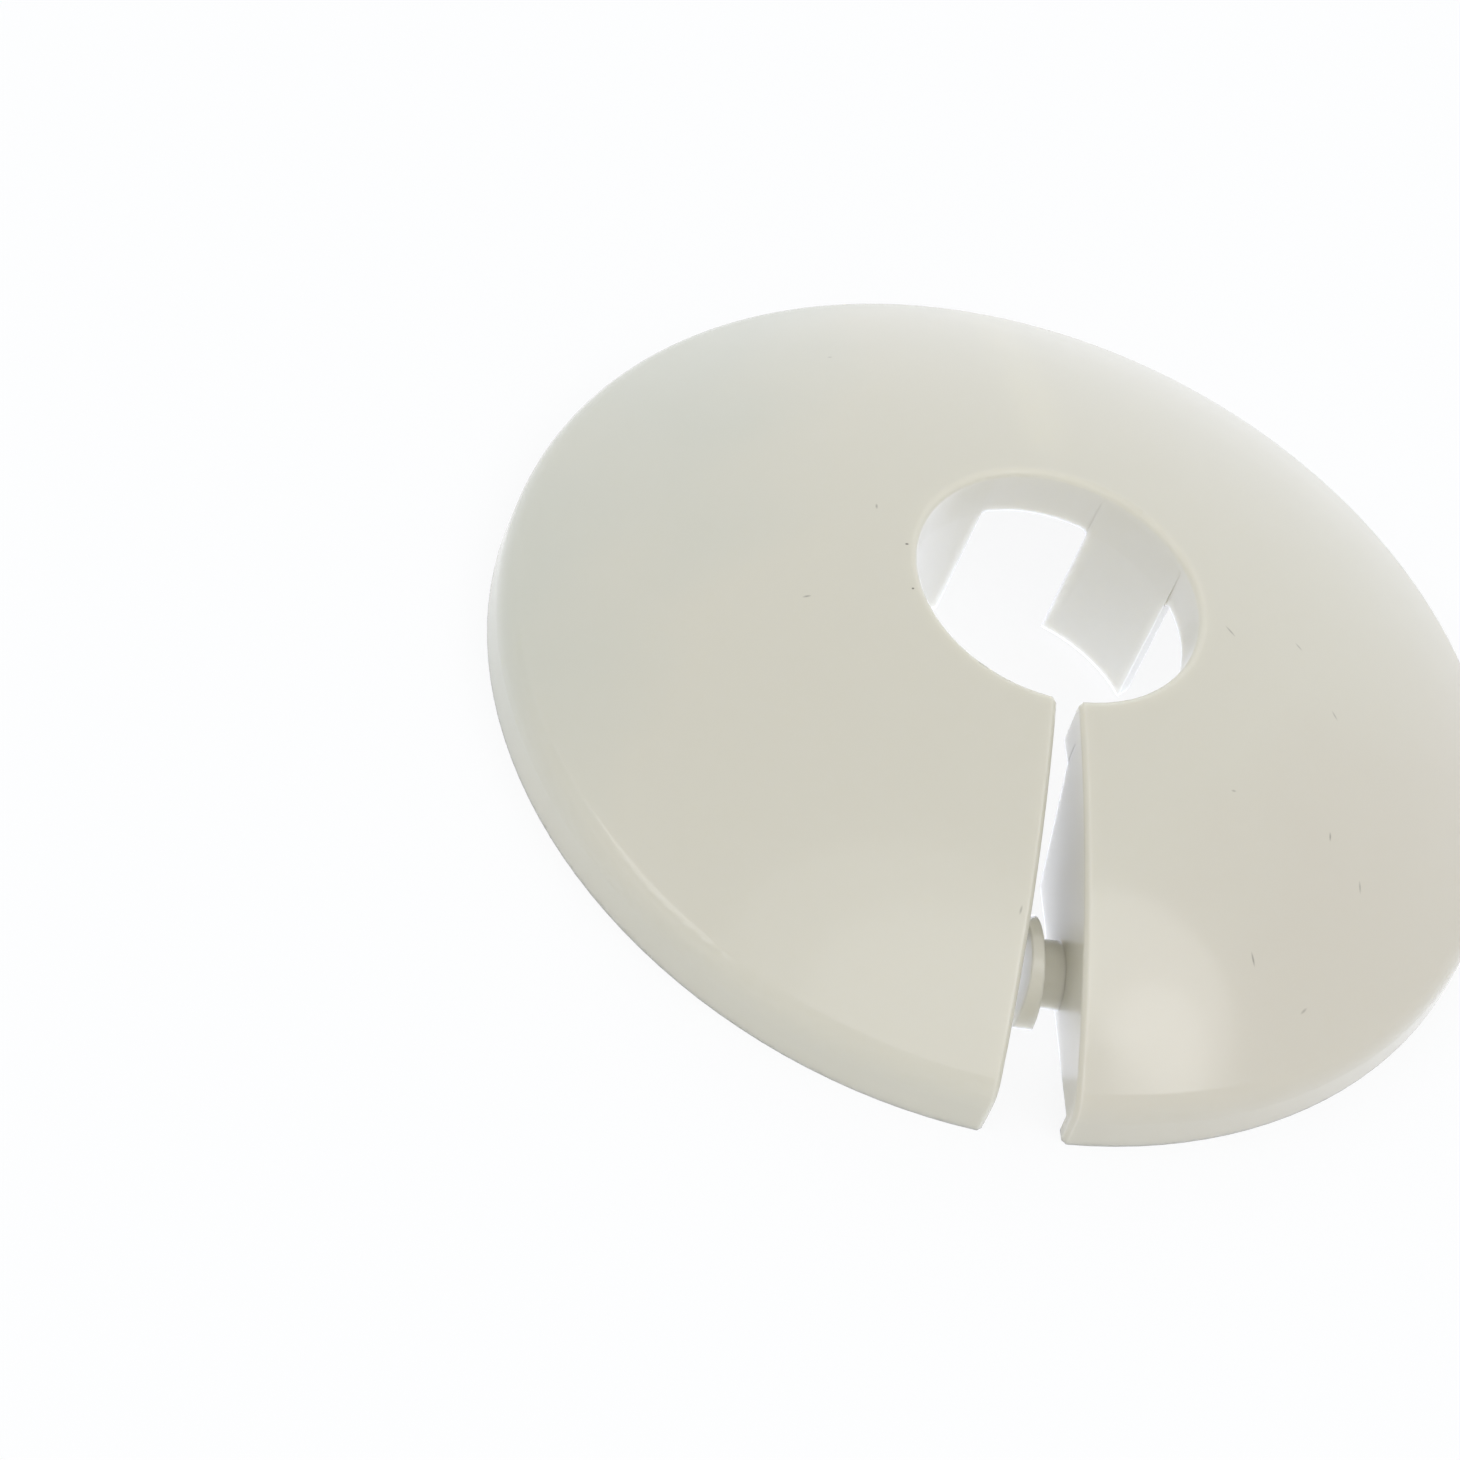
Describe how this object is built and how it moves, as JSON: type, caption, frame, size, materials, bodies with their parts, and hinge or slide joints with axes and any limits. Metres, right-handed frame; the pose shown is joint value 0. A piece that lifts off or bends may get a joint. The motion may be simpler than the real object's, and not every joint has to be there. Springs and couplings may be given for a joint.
{
  "type": "split escutcheon",
  "caption": "Shallow domed plastic cover ring, split on one side with a button catch, that clips round a heating pipe and hides the hole where the pipe enters a wall or floor.",
  "frame": {"origin": "on the bore axis, in the plane of the back rim that lies on the wall", "axes": "+Z along the bore axis away from the wall, with the split towards -Y"},
  "size_m": [0.055, 0.0549, 0.0114],
  "materials": {
    "ivory_plastic": "self-coloured warm white polypropylene with a moulded gloss"
  },
  "bodies": {
    "root": {"escutcheon": "ivory_plastic"}
  },
  "joints": []
}
